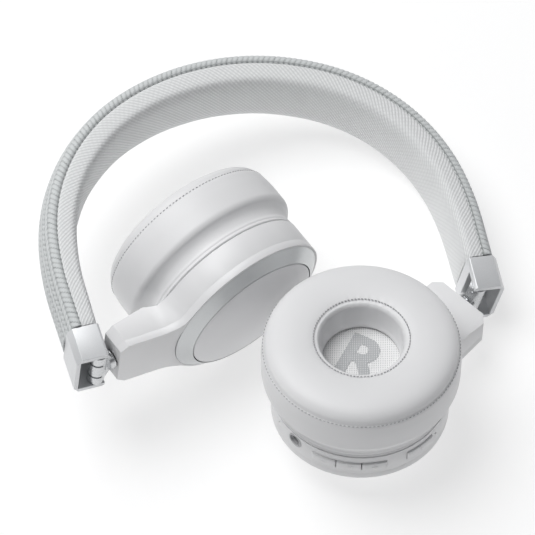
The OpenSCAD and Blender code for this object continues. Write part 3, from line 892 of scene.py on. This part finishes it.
class HEADPHONES_OT_shells(bpy.types.Operator):
    """Round the edges of the shells, caps and buttons"""

    bl_idname = "headphones.shells"
    bl_label = "Shells"

    def execute(self, context):
        edge = settings("shell").edge
        for side in SIDES:
            node_copy(side + "_arm_face", side + "_rounded_arm_face", edge, 3,
                      finish("shell_plastic"))
            node_copy(side + "_arm_body", side + "_rounded_arm_body", edge, 3,
                      finish("shell_plastic"))
            node_copy(side + "_end_cap", side + "_rounded_end_cap", edge * 0.45, 3,
                      finish("cap_metal"), 25)
            finish_piece(turned(disc_profile(), 128), side + "_smooth_disc", side + "_ear",
                         EARS[side], finish("disc_plastic"),
                         (side + "_cover_disc",), 40)
        for key in BUTTONS:
            node_copy(key, "rounded_" + key, edge * 0.4, 3, finish("button_plastic"))
        return {"FINISHED"}


# --- studio ---


class HEADPHONES_OT_stage(bpy.types.Operator):
    """Set up the floor, the lights and the camera"""

    bl_idname = "headphones.stage"
    bl_label = "Stage"

    def execute(self, context):
        stage = settings("stage")
        scene = context.scene
        bm = bmesh.new()
        bmesh.ops.create_grid(bm, x_segments=2, y_segments=2, size=6.0)
        mesh = bpy.data.meshes.new("floor")
        bm.to_mesh(mesh)
        bm.free()
        floor = bpy.data.objects.new("floor", mesh)
        scene.collection.objects.link(floor)
        pale, tree, shader = new_material("floor paper", (0.42, 0.42, 0.42), 0.9)
        shader.inputs["Emission Color"].default_value = (1, 1, 1, 1)
        shader.inputs["Emission Strength"].default_value = 0.62
        mesh.materials.append(pale)

        world = bpy.data.worlds.new("studio")
        scene.world = world
        world.use_nodes = True
        world.node_tree.nodes["Background"].inputs["Color"].default_value = (0.93, 0.95, 1, 1)
        world.node_tree.nodes["Background"].inputs["Strength"].default_value = 0.16

        centre = (Vector(CAD_BOX[0]) + Vector(CAD_BOX[1])) / 2
        lights = (
            ("overhead", (-0.25, 0.35, 1.1), 0.9, 12.5),
            ("front", (0.5, -1.0, 0.7), 0.7, 0.35),
            ("side", (-1.0, -0.2, 0.6), 0.5, 0.5),
        )
        for name, offset, size, power in lights:
            data = bpy.data.lights.new(name, "AREA")
            data.shape, data.size, data.energy = "DISK", size, power * stage.light
            lamp = bpy.data.objects.new(name, data)
            lamp.location = centre + Vector(offset)
            lamp.rotation_mode = "QUATERNION"
            lamp.rotation_quaternion = (-Vector(offset)).to_track_quat("-Z", "Y")
            scene.collection.objects.link(lamp)

        # the camera's place and turn in the band's frame
        turn = BAND.to_3x3().normalized()
        right = turn @ Vector((0.95781, -0.25749, 0.12768))
        up = turn @ Vector((0.16366, 0.85383, 0.49415))
        back = turn @ Vector((-0.23626, -0.45241, 0.85995))
        forward = (-back + right * 0.00162 - up * 0.00938).normalized()
        camera_data = bpy.data.cameras.new("camera")
        camera_data.lens, camera_data.sensor_width = stage.lens, 36.0
        camera_data.clip_start, camera_data.clip_end = 0.05, 20.0
        camera = bpy.data.objects.new("camera", camera_data)
        side_axis = forward.cross(up).normalized()
        axes = Matrix((side_axis, side_axis.cross(forward), -forward)).transposed()
        spot = BAND @ (Vector((-215.61, -489.30, 784.80)) * MM)
        camera.matrix_world = Matrix.Translation(spot) @ axes.to_4x4()
        scene.collection.objects.link(camera)
        scene.camera = camera
        scene.view_settings.view_transform = "Standard"
        return {"FINISHED"}


class HEADPHONES_PT_panel(bpy.types.Panel):
    """Lists the headphones' pieces and their sizes."""

    bl_idname = "HEADPHONES_PT_panel"
    bl_label = "Folding Headphones"
    bl_space_type = "VIEW_3D"
    bl_region_type = "UI"
    bl_category = "Headphones"

    def draw(self, context):
        layout = self.layout
        for group, kind in SETTINGS.items():
            box = layout.box()
            box.label(text=group.title())
            for name in kind.__annotations__:
                box.prop(settings(group), name)
        for operator in BUILD_ORDER:
            layout.operator(operator.bl_idname)


SETTINGS = {"band": BandSettings, "pad": PadSettings, "shell": ShellSettings, "stage": StageSettings}
BUILD_ORDER = (
    HEADPHONES_OT_finishes,
    HEADPHONES_OT_padding,
    HEADPHONES_OT_cover,
    HEADPHONES_OT_ear_pads,
    HEADPHONES_OT_ear_cloths,
    HEADPHONES_OT_shells,
    HEADPHONES_OT_marks,
    HEADPHONES_OT_stage,
)


def register():
    for group, kind in SETTINGS.items():
        bpy.utils.register_class(kind)
        setattr(bpy.types.Scene, "headphones_" + group, bpy.props.PointerProperty(type=kind))
    for kind in (*BUILD_ORDER, HEADPHONES_PT_panel):
        bpy.utils.register_class(kind)


def unregister():
    for kind in reversed((*BUILD_ORDER, HEADPHONES_PT_panel)):
        bpy.utils.unregister_class(kind)
    for group, kind in reversed(SETTINGS.items()):
        delattr(bpy.types.Scene, "headphones_" + group)
        bpy.utils.unregister_class(kind)


def main():
    register()
    bpy.ops.headphones.finishes()
    bpy.ops.headphones.padding()
    bpy.ops.headphones.cover()
    bpy.ops.headphones.ear_pads()
    bpy.ops.headphones.ear_cloths()
    bpy.ops.headphones.shells()
    bpy.ops.headphones.marks()
    bpy.ops.headphones.stage()


if __name__ == "__main__":
    main()
